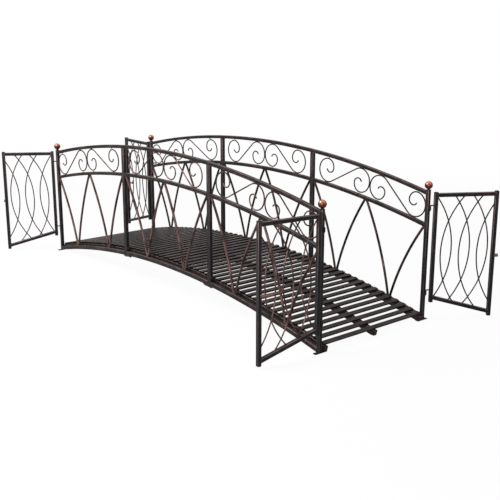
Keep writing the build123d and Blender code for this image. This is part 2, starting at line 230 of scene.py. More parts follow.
TOP_R = arch_radius(TOP_RISE)
TOP_CROWN = TOP_END + TOP_RISE
DECK_R = arch_radius(DECK_RISE)
MID_CROWN = TOP_CROWN - MID_DROP


def arch_z(x, radius, crown):
    """Height of an arch over x."""
    return crown - radius + sqrt(radius ** 2 - x ** 2)


def under_top_rail(x):
    """Height of the top rail's underside over x."""
    return arch_z(x, TOP_R - TOP_RAIL, TOP_CROWN - TOP_RAIL)


def bottom_rail_z(x):
    """Height of the bottom rail's middle over x."""
    return arch_z(x, DECK_R, DECK_RISE) + BOTTOM_RAIL / 2


def slope_cos(x):
    """Cosine of the top rail's slope at x."""
    return cos(asin(x / TOP_R))


def heading_vector(heading):
    """The way a bar runs in the side view, from its angle in degrees."""
    return Vector((cos(radians(heading)), 0, sin(radians(heading))))


# Finishes. A pattern has its scale, its stretch along and across the bar, and its detail.
STROKES = (0.16, (0.09, 1, 1), 4.0)
PATCHES = (0.011, (1, 1, 1), 2.0)
SPECKS = (0.9, (0.3, 1, 1), 2.0)
CLOUDS = (0.07, (1, 1, 1), 4.0)
SCRATCHES = (0.5, (0.15, 1, 1), 3.0)
NOISE_ROUGH = 0.55

# A range goes from the value where a share starts to the one where it is full. Two more numbers,
# where they are given, are the shares at those two places. For a range of looking up, 1 is a
# surface that looks straight up, 0 an upright one and -1 an underside.
EDGE_RANGE = (0.72, 0.95)             # from a tube's flat to its corner
STROKE_SOFT = 0.24                    # how gently a stroke begins
PATCH_RANGE = (0.45, 0.7)
PATCH_SHARE = 0.5                     # of what the strokes take off
BROKEN_RANGE = (0.32, 0.6, 0.25, 1.0) # gaps that the strokes leave in the pale corner line and the bronze top, part wear and part painted highlight
SPECK_RANGE = (0.3, 0.75)
SPECK_DUST = (0.6, 1.0)
# Bronze along the top is partly wear and partly painted light from above; less of it underneath is
# partly wear and partly painted shade.
RUBBED_AND_LIT_TOP = (0.3, 0.95)
RUBBED_AND_SHADED_UNDER = (-0.6, 0.1, 0.3, 1.0)
# The pale corner line is strongest on top, as painted highlight besides wear.
WORN_AND_LIT_ABOVE = (-0.1, 0.65, 0.22, 1.0)
# The paint is painted paler where it looks up and darker on upright sides and undersides, as light
# from above and shade, mixed with pale and dark specks.
PAINTED_LIGHT_ABOVE = (-0.2, 0.9)
SPECK_AND_SHADE_DARK, SPECK_AND_LIGHT_PALE = 0.2, 1.5       # times the paint's own colour
SHINE_DOWN, SHINE_UP = 0.06, 0.08     # how much smoother and rougher the specks make it
BARE_METAL = 0.7
PAINT_SPECULAR = 0.07                 # dull, as the paint is matt
SPECK_DEPTH = 0.00012                 # in metres, as is the next depth
SCRATCH_DEPTH = 0.0001
CLOUD_RANGE = (0.4, 0.68)
CLOUD_SHARE = 0.5
SCRATCH_RANGE = (0.3, 0.7)
SCRATCH_ROUGH = 0.1
# Copper is painted darker underneath, as shade, and paler on top, as highlight and partly wear.
COPPER_SHADE_UNDER = (0.6, -0.3)
COPPER_HIGHLIGHT_ABOVE = (0.3, 0.95, 0.0, 0.8)
COPPER_METAL = 0.8

BLACK = (0.0125, 0.0124, 0.0145)
RAIL_BLACK = (0.0140, 0.0120, 0.0125)
DECK_BLACK = (0.0135, 0.0120, 0.0118)
ROD_BLACK = (0.0075, 0.0066, 0.0068)
BRONZE = (0.175, 0.100, 0.088)
# A pale corner colour: part wear, part painted highlight.
EDGE_WEAR_AND_HIGHLIGHT = (0.36, 0.25, 0.225)
COPPER = (0.33, 0.098, 0.058)
# Pale colours: painted highlight on top, partly wear. Deep colours: painted shade underneath, also
# darker clouds.
COPPER_HIGHLIGHT_AND_WEAR = (0.68, 0.38, 0.29)
COPPER_CLOUD_AND_SHADE = (0.085, 0.028, 0.018)
BOLT_BROWN = (0.14, 0.078, 0.061)
BOLT_HIGHLIGHT_AND_WEAR = (0.24, 0.155, 0.13)
BOLT_CLOUD_AND_SHADE = (0.06, 0.028, 0.022)
RIM = (0.12, 0.07, 0.06)              # tint of the copper's gloss at its rim


def node(tree, kind, **values):
    """A shader node with its plain settings and its socket values."""
    made = tree.nodes.new(kind)
    for name, value in values.items():
        if name in made.inputs:
            made.inputs[name].default_value = value
        else:
            setattr(made, name, value)
    return made


def link(tree, out, into):
    """Joins a node's output to a socket."""
    tree.links.new(out, into)


def blank(name):
    """An empty material with its shader."""
    material = bpy.data.materials.new(name)
    material.use_nodes = True
    tree = material.node_tree
    tree.nodes.clear()
    shader = tree.nodes.new("ShaderNodeBsdfPrincipled")
    output = tree.nodes.new("ShaderNodeOutputMaterial")
    link(tree, shader.outputs["BSDF"], output.inputs["Surface"])
    return material, tree, shader


def noise_of(tree, scale, stretch, detail):
    """A cloudy pattern on the grain of a bar, drawn out along it where stretch says so."""
    grain = node(tree, "ShaderNodeAttribute", attribute_name="grain")
    mapping = node(tree, "ShaderNodeMapping", Scale=[scale * s for s in stretch])
    link(tree, grain.outputs["Vector"], mapping.inputs["Vector"])
    cloud = node(tree, "ShaderNodeTexNoise", Scale=1.0, Detail=detail, Roughness=NOISE_ROUGH)
    link(tree, mapping.outputs["Vector"], cloud.inputs["Vector"])
    return cloud.outputs["Fac"]


def spread_of(tree, value, low, high, out_low=0.0, out_high=1.0):
    """The same value, stretched from one range to another and held there."""
    made = node(tree, "ShaderNodeMapRange", interpolation_type="SMOOTHSTEP")
    link(tree, value, made.inputs["Value"])
    for name, number in (("From Min", low), ("From Max", high),
                         ("To Min", out_low), ("To Max", out_high)):
        made.inputs[name].default_value = number
    return made.outputs["Result"]


def sum_of(tree, *values):
    """Several values added and held between nothing and one."""
    total = values[0]
    for value in values[1:]:
        add = node(tree, "ShaderNodeMath", operation="ADD", use_clamp=True)
        link(tree, total, add.inputs[0])
        link(tree, value, add.inputs[1])
        total = add.outputs["Value"]
    return total


def product_of(tree, first, second):
    """Two values multiplied; each is a number or a socket."""
    made = node(tree, "ShaderNodeMath", operation="MULTIPLY")
    for value, socket in ((first, made.inputs[0]), (second, made.inputs[1])):
        if isinstance(value, float):
            socket.default_value = value
        else:
            link(tree, value, socket)
    return made.outputs["Value"]


def colour_socket(sockets, name):
    """The socket of a mixing node that holds a colour, among those of one name."""
    return next(s for s in sockets if s.name == name and s.type == "RGBA")


def blend_of(tree, share, first, second):
    """Two colours mixed by a share; each is a colour or a socket."""
    made = node(tree, "ShaderNodeMix", data_type="RGBA")
    link(tree, share, made.inputs["Factor"])
    for value, name in ((first, "A"), (second, "B")):
        socket = colour_socket(made.inputs, name)
        if isinstance(value, tuple):
            socket.default_value = (*value, 1)
        else:
            link(tree, value, socket)
    return colour_socket(made.outputs, "Result")


def parts_of(tree, name):
    """The three parts of one of the mesh's own layers."""
    layer = node(tree, "ShaderNodeAttribute", attribute_name=name)
    parts = node(tree, "ShaderNodeSeparateXYZ")
    link(tree, layer.outputs["Vector"], parts.inputs["Vector"])
    return parts.outputs["X"], parts.outputs["Y"], parts.outputs["Z"]


def edge_of(tree):
    """One along the corners of a square tube, falling to nothing on its flats."""
    least = node(tree, "ShaderNodeMath", operation="MINIMUM")
    for value, socket in zip(parts_of(tree, "side"), least.inputs):
        plain = node(tree, "ShaderNodeMath", operation="ABSOLUTE")
        link(tree, value, plain.inputs[0])
        link(tree, plain.outputs["Value"], socket)
    return spread_of(tree, least.outputs["Value"], *EDGE_RANGE)


def above_of(tree, low, high, out_low=0.0, out_high=1.0):
    """How far a surface looks upwards."""
    return spread_of(tree, parts_of(tree, "side")[2], low, high, out_low, out_high)


def bump_of(tree, height, shader, depth):
    """Fine relief under the gloss."""
    bump = node(tree, "ShaderNodeBump", Distance=depth, Strength=1.0)
    link(tree, height, bump.inputs["Height"])
    link(tree, bump.outputs["Normal"], shader.inputs["Normal"])


def bare_and_lit_share(tree, strokes, rub, tops, reach):
    """How much bronze shows: rubbed through in strokes and in patches, along the top partly as
    wear and partly as painted light from above, and little underneath, as painted shade.
    """
    patches = noise_of(tree, *PATCHES)
    stroke = product_of(tree, spread_of(tree, strokes, reach, reach + STROKE_SOFT), rub)
    patch = product_of(tree, spread_of(tree, patches, *PATCH_RANGE), rub * PATCH_SHARE)
    top = product_of(tree, above_of(tree, *RUBBED_AND_LIT_TOP), tops)
    top = product_of(tree, top, spread_of(tree, strokes, *BROKEN_RANGE))
    return product_of(tree, sum_of(tree, stroke, patch, top), above_of(tree, *RUBBED_AND_SHADED_UNDER))


def worn_and_lit_share(tree, strokes, edges):
    """How pale a corner is, part wear and part painted highlight: in a broken line, and most of
    all on top, where light falls.
    """
    worn_and_lit = product_of(tree, edge_of(tree), edges)
    worn_and_lit = product_of(tree, worn_and_lit, spread_of(tree, strokes, *BROKEN_RANGE))
    return product_of(tree, worn_and_lit, above_of(tree, *WORN_AND_LIT_ABOVE))


def rubbed_paint_with_painted_light(name, dark, rub, edges, tops, shine=0.42, reach=0.5, sides=0.75):
    """Dark paint rubbed through to bronze in long strokes, with bronze and a pale line painted on
    top and on corners as highlight besides wear, and painted shade on sides.

    The last three are its roughness, the value from which a stroke shows, and how pale the
    paint stays on upright sides and undersides, where it is painted darker as shade."""
    material, tree, shader = blank(name)
    strokes = noise_of(tree, *STROKES)
    specks = noise_of(tree, *SPECKS)
    bare_and_lit = bare_and_lit_share(tree, strokes, rub, tops, reach)
    worn_and_lit = worn_and_lit_share(tree, strokes, edges)
    # Painted light and shade: paler on top, darker on sides and undersides, mixed with random
    # specks.
    specks_and_painted_light = product_of(tree, spread_of(tree, specks, *SPECK_RANGE, *SPECK_DUST),
                       above_of(tree, *PAINTED_LIGHT_ABOVE, sides, 1.0))
    tint = blend_of(tree, specks_and_painted_light, tuple(c * SPECK_AND_SHADE_DARK for c in dark),
                    tuple(c * SPECK_AND_LIGHT_PALE for c in dark))
    colour = blend_of(tree, worn_and_lit, blend_of(tree, bare_and_lit, tint, BRONZE), EDGE_WEAR_AND_HIGHLIGHT)
    link(tree, colour, shader.inputs["Base Color"])
    metal = product_of(tree, sum_of(tree, bare_and_lit, worn_and_lit), BARE_METAL)
    link(tree, metal, shader.inputs["Metallic"])
    gloss = spread_of(tree, specks, *SPECK_RANGE, shine - SHINE_DOWN, shine + SHINE_UP)
    link(tree, gloss, shader.inputs["Roughness"])
    shader.inputs["Specular IOR Level"].default_value = PAINT_SPECULAR
    bump_of(tree, specks, shader, SPECK_DEPTH)
    return material


def copper_with_painted_light(name, bright, pale, deep, gloss):
    """Copper paint, painted paler on top as highlight and some wear and darker underneath as
    shade, with darker clouds and fine scratches.
    """
    material, tree, shader = blank(name)
    clouds = noise_of(tree, *CLOUDS)
    scratches = noise_of(tree, *SCRATCHES)
    cloudy = product_of(tree, spread_of(tree, clouds, *CLOUD_RANGE), CLOUD_SHARE)
    # Painted shade underneath besides darker clouds, and painted highlight on top besides some
    # wear.
    shaded = sum_of(tree, cloudy, above_of(tree, *COPPER_SHADE_UNDER))
    colour = blend_of(tree, above_of(tree, *COPPER_HIGHLIGHT_ABOVE), bright, pale)
    link(tree, blend_of(tree, shaded, colour, deep), shader.inputs["Base Color"])
    shader.inputs["Metallic"].default_value = COPPER_METAL
    shader.inputs["Specular Tint"].default_value = (*RIM, 1)
    rough = spread_of(tree, scratches, *SCRATCH_RANGE, gloss, gloss + SCRATCH_ROUGH)
    link(tree, rough, shader.inputs["Roughness"])
    bump_of(tree, scratches, shader, SCRATCH_DEPTH)
    return material


# Each paint is rubbed through to bronze and also carries painted light: bronze and a pale line on
# top and on corners as painted highlight besides wear, and darker sides and undersides as painted
# shade.
tube_paint = rubbed_paint_with_painted_light("tube_paint", BLACK, rub=0.2, edges=0.9, tops=0.18)
rail_paint = rubbed_paint_with_painted_light("rail_paint", RAIL_BLACK, rub=0.3, edges=0.42, tops=0.08)
low_paint = rubbed_paint_with_painted_light("low_paint", RAIL_BLACK, rub=0.28, edges=0.5, tops=0.04)
front_rod_paint = rubbed_paint_with_painted_light("front_rod_paint", ROD_BLACK, rub=0.9, edges=0.0, tops=0.45,
                               reach=0.4)
back_rod_paint = rubbed_paint_with_painted_light("back_rod_paint", ROD_BLACK, rub=0.6, edges=0.0, tops=0.3,
                              reach=0.45)
# The slats' sides are painted darker still, as shade.
deck_paint = rubbed_paint_with_painted_light("deck_paint", DECK_BLACK, rub=0.2, edges=0.3, tops=0.03,
                          shine=0.4, sides=0.3)
weld_paint = rubbed_paint_with_painted_light("weld_paint", BLACK, rub=0.9, edges=0.0, tops=0.5)
screw_paint = rubbed_paint_with_painted_light("screw_paint", BLACK, rub=0.5, edges=0.0, tops=0.6)
cap_paint = rubbed_paint_with_painted_light("cap_paint", BLACK, rub=0.05, edges=0.0, tops=0.05, shine=0.5)
shell_paint = rubbed_paint_with_painted_light("shell_paint", BLACK, rub=1.0, edges=0.0, tops=0.4, reach=0.2)
ball_copper = copper_with_painted_light("ball_copper", COPPER, COPPER_HIGHLIGHT_AND_WEAR, COPPER_CLOUD_AND_SHADE, gloss=0.22)
bolt_copper = copper_with_painted_light("bolt_copper", BOLT_BROWN, BOLT_HIGHLIGHT_AND_WEAR, BOLT_CLOUD_AND_SHADE, gloss=0.4)


# Bars. An outline is carried along runs and bends, and keeps two notes on each of its points:
# grain is how far along the bar it is and where in the section, and side is how near a corner
# of the section it is and how far it looks up. The finishes read both.
def fresh():
    """An empty mesh with the layers that the finishes read."""
    bm = bmesh.new()
    bm.verts.layers.float_vector.new("grain")
    bm.verts.layers.float_vector.new("side")
    return bm


def mark(bm, tall=0.0, wide=0.0):
    """Notes each point of a section: how far off the bar's line, and how near a corner."""
    grain = bm.verts.layers.float_vector["grain"]
    side = bm.verts.layers.float_vector["side"]
    for v in bm.verts:
        v[grain] = (0, v.co.x, v.co.y)
        if tall:
            v[side] = (2 * v.co.x / tall, 2 * v.co.y / wide, 0)


def tube_section(tall, wide, corner=CORNER):
    """The outline of a tube with rounded corners."""
    bm = fresh()
    bmesh.ops.create_grid(bm, x_segments=1, y_segments=1, size=0.5)
    bmesh.ops.scale(bm, vec=(tall, wide, 1), verts=bm.verts)
    bmesh.ops.bevel(bm, geom=bm.verts[:], offset=corner, segments=CORNER_STEPS,
                    profile=0.5, affect="VERTICES", material=-1)
    bmesh.ops.delete(bm, geom=bm.faces[:], context="FACES_ONLY")
    mark(bm, tall, wide)
    return bm


def rod_section(radius, sides=ROD_SIDES):
    """The outline of a round rod."""
    bm = fresh()
    bmesh.ops.create_circle(bm, cap_ends=False, segments=sides, radius=radius)
    mark(bm)
    return bm


def run(length):
    """A straight move."""
    return "run", length, 0.0


def bend(radius, angle):
    """A move round a curve, by an angle in degrees."""
    return "bend", radius, angle


def ring_of(geometry):
    """The points and edges of the last outline that a step has made."""
    verts = [g for g in geometry if isinstance(g, bmesh.types.BMVert)]
    known = set(verts)
    edges = [g for g in geometry if isinstance(g, bmesh.types.BMEdge)
             and g.verts[0] in known and g.verts[1] in known]
    return verts, edges


def stretch_grain(bm, verts, distance):
    """Tells new points how far along the bar they are."""
    grain = bm.verts.layers.float_vector["grain"]
    for v in verts:
        v[grain] = (distance(v), v[grain].y, v[grain].z)


def turned(spoke, first):
    """Angle in the side view between a spoke and the first one."""
    flat = Vector((spoke.x, 0, spoke.z))
    return flat.angle(first) if flat.length > 0 else 0.0


def go_straight(bm, end, at, heading, length, start):
    """Draws the outline out along a straight run; gives its new end and where that is."""
    end = ring_of(bmesh.ops.extrude_edge_only(bm, edges=end[1])["geom"])
    step = heading_vector(heading) * length
    bmesh.ops.translate(bm, vec=step, verts=end[0])
    stretch_grain(bm, end[0], lambda v: start + length)
    return end, at + step


def go_round(bm, end, at, heading, radius, angle, start):
    """Draws the outline round a bend; gives its new end and where that is."""
    side = 1 if angle > 0 else -1
    inward = heading_vector(heading + 90 * side)
    centre = at + inward * radius
    arc = radians(abs(angle))
    steps = ceil(abs(angle) / ARC_STEP) if radius < TIGHT else ceil(arc * radius / LONG_STEP)
    old = set(bm.verts)
    made = bmesh.ops.spin(bm, geom=end[0] + end[1], cent=centre, axis=(0, -side, 0),
                          angle=arc, steps=max(steps, 1), use_merge=False)
    new = [v for v in bm.verts if v not in old]
    stretch_grain(bm, new, lambda v: start + radius * turned(v.co - centre, -inward))
    outward = -heading_vector(heading + angle + 90 * side)
    return ring_of(made["geom_last"]), centre + outward * radius


def carry(bm, at, heading, moves):
    """Carries an outline along straight runs and bends. A bend to the left is positive."""
    at = Vector(at)
    place = Matrix((heading_vector(heading + 90), -ACROSS, heading_vector(heading)))
    place = place.transposed().to_4x4()
    place.translation = at
    bmesh.ops.transform(bm, matrix=place, verts=bm.verts)
    end = bm.verts[:], bm.edges[:]
    start = random.uniform(0, GRAIN_SHIFT)
    stretch_grain(bm, bm.verts, lambda v: start)
    for kind, size, angle in moves:
        if kind == "run":
            end, at = go_straight(bm, end, at, heading, size, start)
            start += size
        else:
            end, at = go_round(bm, end, at, heading, size, angle, start)
            start += size * radians(abs(angle))
            heading += angle
    return bm


def close(bm):
    """Closes open ends and points every face outwards."""
    bmesh.ops.holes_fill(bm, edges=bm.edges[:], sides=0)
    bmesh.ops.recalc_face_normals(bm, faces=bm.faces[:])
    return bm


def bar(section, at, heading, moves):
    """An outline carried along its moves, with both ends closed."""
    return close(carry(section, at, heading, moves))


def trim(bm, at, outward):
    """Cuts off what lies on the outward side of a plane and closes the cut."""
    bmesh.ops.bisect_plane(bm, geom=bm.verts[:] + bm.edges[:] + bm.faces[:],
                           plane_co=at, plane_no=outward, clear_outer=True)
    return close(bm)


def shifted(bm, x=0.0, y=0.0, z=0.0):
    """The same bar, moved along."""
    bmesh.ops.translate(bm, vec=(x, y, z), verts=bm.verts)
    return bm


def moved(bm, matrix):
    """The same bar, placed by a matrix."""
    bmesh.ops.transform(bm, matrix=matrix, verts=bm.verts)
    return bm


def copy_of(bm, matrix):
    """A copy of a bar, placed by a matrix; a mirrored copy is turned right side out."""
    twin = moved(bm.copy(), matrix)
    if matrix.determinant() < 0:
        bmesh.ops.reverse_faces(twin, faces=twin.faces[:])
    return twin


OTHER_END = Matrix.Scale(-1, 4, (1, 0, 0))
OTHER_SIDE = Matrix.Scale(-1, 4, (0, 1, 0))


def mirrored(bars):
    """Copies of bars at the other end of the bridge."""
    return [copy_of(bm, OTHER_END) for bm in bars]


def both_ends(bars):
    """Bars and their copies at the other end."""
    return bars + mirrored(bars)


def four_corners(bars):
    """The same bars at all four corners of the bridge."""
    return both_ends(bars + [copy_of(bm, OTHER_SIDE) for bm in bars])


def lathe(profile, steps, at=(0, 0, 0), axis=UP):
    """A turned shape from points given as radius and height."""
    bm = fresh()
    points = [bm.verts.new((r, 0, h)) for r, h in profile]
    edges = [bm.edges.new(pair) for pair in zip(points, points[1:])]
    bmesh.ops.spin(bm, geom=points + edges, cent=(0, 0, 0), axis=UP,
                   angle=2 * pi, steps=steps, use_merge=True)
    bmesh.ops.remove_doubles(bm, verts=bm.verts[:], dist=SAME_POINT)
    close(bm)
    place = UP.rotation_difference(Vector(axis)).to_matrix().to_4x4()
    place.translation = Vector(at)
    return moved(bm, place)


def disc(radius, tall, steps, at, axis):
    """A plain round block that stands on a place."""
    return lathe([(0, 0), (radius, 0), (radius, tall), (0, tall)], steps, at, axis)


def weld(at, axis, wide, tall):
    """A small uneven weld that swells around a contact; the axis leaves the larger piece."""
    bm = fresh()
    bmesh.ops.create_icosphere(bm, subdivisions=2, radius=1.0)
    for v in bm.verts:
        v.co *= random.uniform(*WELD_UNEVEN)
    turn = Vector(axis).to_track_quat("Z", "Y").to_matrix().to_4x4()
    size = Matrix.Diagonal((wide, wide, tall, 1.0))
    return moved(bm, Matrix.Translation(Vector(at)) @ turn @ size)


def hexagon(at, axis, tall):
    """A bolt's head or a nut, chamfered on top, on a washer."""
    corner = HEAD_WIDE / sqrt(3)
    seat = WASHER_TALL
    top = seat + tall
    head = lathe([(0, seat), (corner, seat), (corner, top - HEAD_CHAMFER),
                  (corner - HEAD_CHAMFER, top), (0, top)], 6, at, axis)
    return [head, disc(WASHER_R, seat, ROUND_SIDES, at, axis)]


def bolted(head_at, nut_at):
    """A bolt through something, with its head at one place and its nut at the other."""
    axis = (Vector(head_at) - Vector(nut_at)).normalized()
    end = WASHER_TALL + NUT_TALL + THREAD_SHOWS
    thread = lathe([(0, 0), (THREAD_R, 0), (THREAD_R, end - THREAD_CHAMFER),
                    (THREAD_R - THREAD_CHAMFER, end), (0, end)], THREAD_SIDES, nut_at, -axis)
    return hexagon(head_at, axis, HEAD_TALL) + hexagon(nut_at, -axis, NUT_TALL) + [thread]


def cap(x, z, way):
    """A rounded plug that closes the top or the foot of a gate's stile."""
    bm = fresh()
    bmesh.ops.create_cube(bm, size=1.0)
    bmesh.ops.scale(bm, vec=(TUBE - CAP_GAP, TUBE - CAP_GAP, 2 * CAP_TALL), verts=bm.verts)
    bmesh.ops.bevel(bm, geom=bm.edges[:], offset=CAP_ROUND, segments=CORNER_STEPS,
                    profile=0.5, affect="EDGES", material=-1)
    return shifted(bm, x, z=z + way * CAP_LIFT)


def joined(bars):
    """Several bars as one mesh."""
    whole = fresh()
    for bm in bars:
        loose = bpy.data.meshes.new("loose")
        bm.to_mesh(loose)
        whole.from_mesh(loose)
        bpy.data.meshes.remove(loose)
        bm.free()
    return whole


def note_surface(whole):
    """Notes how far each point looks upwards, and gives a grain to what was made without one."""
    grain = whole.verts.layers.float_vector["grain"]
    side = whole.verts.layers.float_vector["side"]
    whole.normal_update()
    for v in whole.verts:
        v[side] = (v[side].x, v[side].y, v.normal.z)
        if v[grain].length == 0:
            v[grain] = v.co


def make(name, bars, finish, replaced, body="bridge", walls=0.0):
    """Joins bars into one piece in metres, gives it its finish and sets it on its body."""
    whole = joined(bars)
    note_surface(whole)
    for face in whole.faces:
        face.smooth = True
    bmesh.ops.scale(whole, vec=(MM, MM, MM), verts=whole.verts)
    mesh = bpy.data.meshes.new(name)
    whole.to_mesh(mesh)
    whole.free()
    mesh.set_sharp_from_angle(angle=SHARP)
    piece = bpy.data.objects.new(name, mesh)
    bpy.context.scene.collection.objects.link(piece)
    mesh.materials.append(finish)
    if walls:
        wall = piece.modifiers.new("wall", "SOLIDIFY")
        wall.thickness, wall.offset = walls * MM, -1
    even = piece.modifiers.new("even_shading", "WEIGHTED_NORMAL")
    even.keep_sharp = True
    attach(piece, body)
    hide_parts(*replaced)


# Railings
def arched(section, radius, crown, depth, x0, x1):
    """A bar that follows an arch between two upright cuts, given for its upper edge."""
    line = radius - depth / 2
    centre = Vector((0, 0, crown - radius))
    first = 90 - degrees(asin((x0 - depth) / line))
    last = 90 - degrees(asin((x1 + depth) / line))
    at = centre + heading_vector(first) * line
    bm = bar(section, at, first - 90, [bend(line, last - first)])
    trim(bm, (x0, 0, 0), (-1, 0, 0))
    return trim(bm, (x1, 0, 0), (1, 0, 0))


def panel_ranges(inset):
    """Where the left, middle and right panels start and stop."""
    joint = JOINT_X + inset
    return [(-POST_IN, -joint), (inset - JOINT_X, JOINT_X - inset), (joint, POST_IN)]


def rails(radius, crown, depth, inset, y):
    """One rail in three lengths."""
    return [shifted(arched(tube_section(depth, RAIL_WIDE), radius, crown, depth, a, b), y=y)
            for a, b in panel_ranges(inset)]


def upright(x, low, high, thick, wide, y):
    """A square upright between two heights."""
    return bar(tube_section(thick, wide), (x, y, low), 90, [run(high - low)])


def stiles(y):
    """Thin uprights, in pairs where the side panels meet."""
    made = []
    for x in (JOINT_X - (SEAM + STILE) / 2, JOINT_X + (SEAM + STILE) / 2):
        low = arch_z(x, DECK_R, DECK_RISE) + STILE_LIFT
        made.append(upright(x, low, under_top_rail(x) + STILE_SINK, STILE, RAIL_WIDE, y))
    return both_ends(made)


def frieze_z(x):
    """Half way between the top rail and the middle rail."""
    return (under_top_rail(x) + arch_z(x, TOP_R, MID_CROWN)) / 2


def loop_radius(x):
    """Largest loop that fits between the two rails at x."""
    clear = MID_DROP * slope_cos(x) - TOP_RAIL
    return (clear - SCROLL_ROD) / 2 - SEAM


def scroll(reach, radius):
    """One scroll: a straight tangent with a tightening curl at each end."""
    lean = degrees(asin(radius / reach))
    curls = [bend(radius * share, -turn) for share, turn in zip(LOOP_SHARES, LOOP_TURNS)]
    moves = [run(sqrt(reach ** 2 - radius ** 2)), bend(radius, -lean)] + curls
    half = carry(rod_section(SCROLL_ROD / 2), (0, 0, 0), lean, moves)
    return half, copy_of(half, Matrix.Rotation(pi, 4, "Y"))


def weld_halves(pair, matrix):
    """The two halves of a scroll as one closed rod, put in its place."""
    whole = joined(pair)
    bmesh.ops.remove_doubles(whole, verts=whole.verts[:], dist=SAME_ROD_POINT)
    return close(moved(whole, matrix))


def scroll_pair(touch, reach, radius, y):
    """Two scrolls that mirror each other and meet where their loops touch, and their welds."""
    half = reach + radius + (SCROLL_ROD - SCROLL_WELD) / 2
    made = []
    welds = [weld((touch, y, frieze_z(touch)), UP, SCROLL_WELD_SIZE[0], 2 * SCROLL_WELD_SIZE[0])]
    for side in (-1, 1):
        x = touch + side * half * slope_cos(touch + side * half)
        dx = reach * slope_cos(x)
        low, high = frieze_z(x - dx), frieze_z(x + dx)
        tilt = asin((high - low) / hypot(2 * dx, high - low))
        place = Matrix.Translation((x, y, (low + high) / 2)) @ Matrix.Rotation(-tilt, 4, "Y")
        for loop in (-1, 1):
            for way in (-1, 1):
                spot = place @ Vector((loop * reach, 0, way * (radius + SCROLL_ROD / 2)))
                welds.append(weld(spot, (0, 0, -way), *SCROLL_WELD_SIZE))
        if side > 0:
            place = place @ OTHER_END
        made.append(weld_halves(scroll(reach, radius), place))
    return made, welds


def end_scrolls(y):
    """The pair in the bay next to the right end posts."""
    far = POST_IN - MID_DROP / 2
    radius = loop_radius(far)
    room = POST_IN - SEAM - (STILE_OUT + SCROLL_GAP)
    slope = slope_cos(JOINT_X + room / 2)
    reach = room / slope / 4 - radius - SCROLL_ROD / 2
    outer = POST_IN - SEAM - SCROLL_ROD / 2 - radius - reach * slope_cos(far - reach)
    contact = (SCROLL_ROD - SCROLL_WELD) / 2
    touch = outer - (reach + radius + contact) * slope_cos(outer - radius)
    return scroll_pair(touch, reach, radius, y)


def middle_scrolls(y):
    """The pair in the middle bay."""
    radius = loop_radius(STILE_IN)
    reach = (STILE_IN - SCROLL_GAP) / 2 - radius - SCROLL_ROD / 2
    return scroll_pair(0, reach, radius, y)


def bowed_bar(foot, head):
    """A round bar that bows upwards from the line between its ends."""
    chord = head - foot
    half = chord.length / 2
    radius = (half ** 2 + BAR_BOW ** 2) / (2 * BAR_BOW)
    rising = degrees(asin(chord.z / chord.length))
    if chord.x < 0:
        rising = 180 - rising
    side = 1 if chord.x > 0 else -1
    centre = (foot + head) / 2 - heading_vector(rising + 90 * side) * (radius - BAR_BOW)
    spread = degrees(asin((half + BAR_BURIED) / radius))
    first = rising + 90 * side + spread * side
    at = centre + heading_vector(first) * radius
    return bar(rod_section(BAR / 2), at, first - 90 * side, [bend(radius, -2 * spread * side)])


def valley_bars(valley, low, high, y):
    """The two bars that rise from one valley, between walls at low and high."""
    made, welds = [], []
    for wall in (low, high):
        side = 1 if wall > valley else -1
        near, top = valley + side * BAR / 2, wall - side * BAR / 2
        foot = Vector((near, 0, arch_z(near, DECK_R + BOTTOM_RAIL, DECK_RISE + BOTTOM_RAIL)))
        head = Vector((top, 0, arch_z(top, TOP_R - TOP_RAIL, MID_CROWN - TOP_RAIL)))
        bm = bowed_bar(foot, head)
        trim(bm, (valley + side * SEAM / 2, 0, 0), (-side, 0, 0))
        trim(bm, (wall, 0, 0), (side, 0, 0))
        made.append(shifted(bm, y=y))
        welds.append(weld(foot + y * ACROSS, UP, *BRACE_WELD))
        welds.append(weld(head + y * ACROSS, -UP, *BRACE_WELD))
    return made, welds


def middle_braces(y):
    """The bars of the middle bay and their welds."""
    bars, welds = valley_bars(VALLEY_MID, SEAM / 2, STILE_IN, y)
    return both_ends(bars), both_ends(welds)


def end_braces(y):
    """The bars of the right bay and their welds."""
    inner, inner_welds = valley_bars(BAY_X - VALLEY_IN, STILE_OUT, BAY_X - SEAM / 2, y)
    outer, outer_welds = valley_bars(BAY_X + VALLEY_OUT, BAY_X + SEAM / 2, POST_IN, y)
    return inner + outer, inner_welds + outer_welds


def make_railing(side, y, rod_paint):
    """All the pieces of one railing."""
    inset = SEAM / 2 + STILE
    bottom = (DECK_R + BOTTOM_RAIL, DECK_RISE + BOTTOM_RAIL, BOTTOM_RAIL)
    for rail, arch, gap, finish in (
            ("top_rail", (TOP_R, TOP_CROWN, TOP_RAIL), SEAM / 2, rail_paint),
            ("middle_rail", (TOP_R, MID_CROWN, TOP_RAIL), inset, rail_paint),
            ("bottom_rail", bottom, inset, low_paint)):
        make(f"{side}_{rail}_tubes", rails(*arch, gap, y), finish, [f"{side}_{rail}"])
    make(f"{side}_stile_tubes", stiles(y), tube_paint, [f"{side}_stiles"])
    for kind, (ends, end_welds), (middle, welds) in (
            ("scroll", end_scrolls(y), middle_scrolls(y)),
            ("brace", end_braces(y), middle_braces(y))):
        for bay, bars in (("left", mirrored(ends)), ("middle", middle), ("right", ends)):
            make(f"{side}_{kind}_rods_{bay}", bars, rod_paint, [f"{side}_{kind}s_{bay}"])
        make(f"{side}_{kind}_welds", both_ends(end_welds) + welds, weld_paint,
             [f"{side}_{kind}s_{bay}" for bay in BAYS])


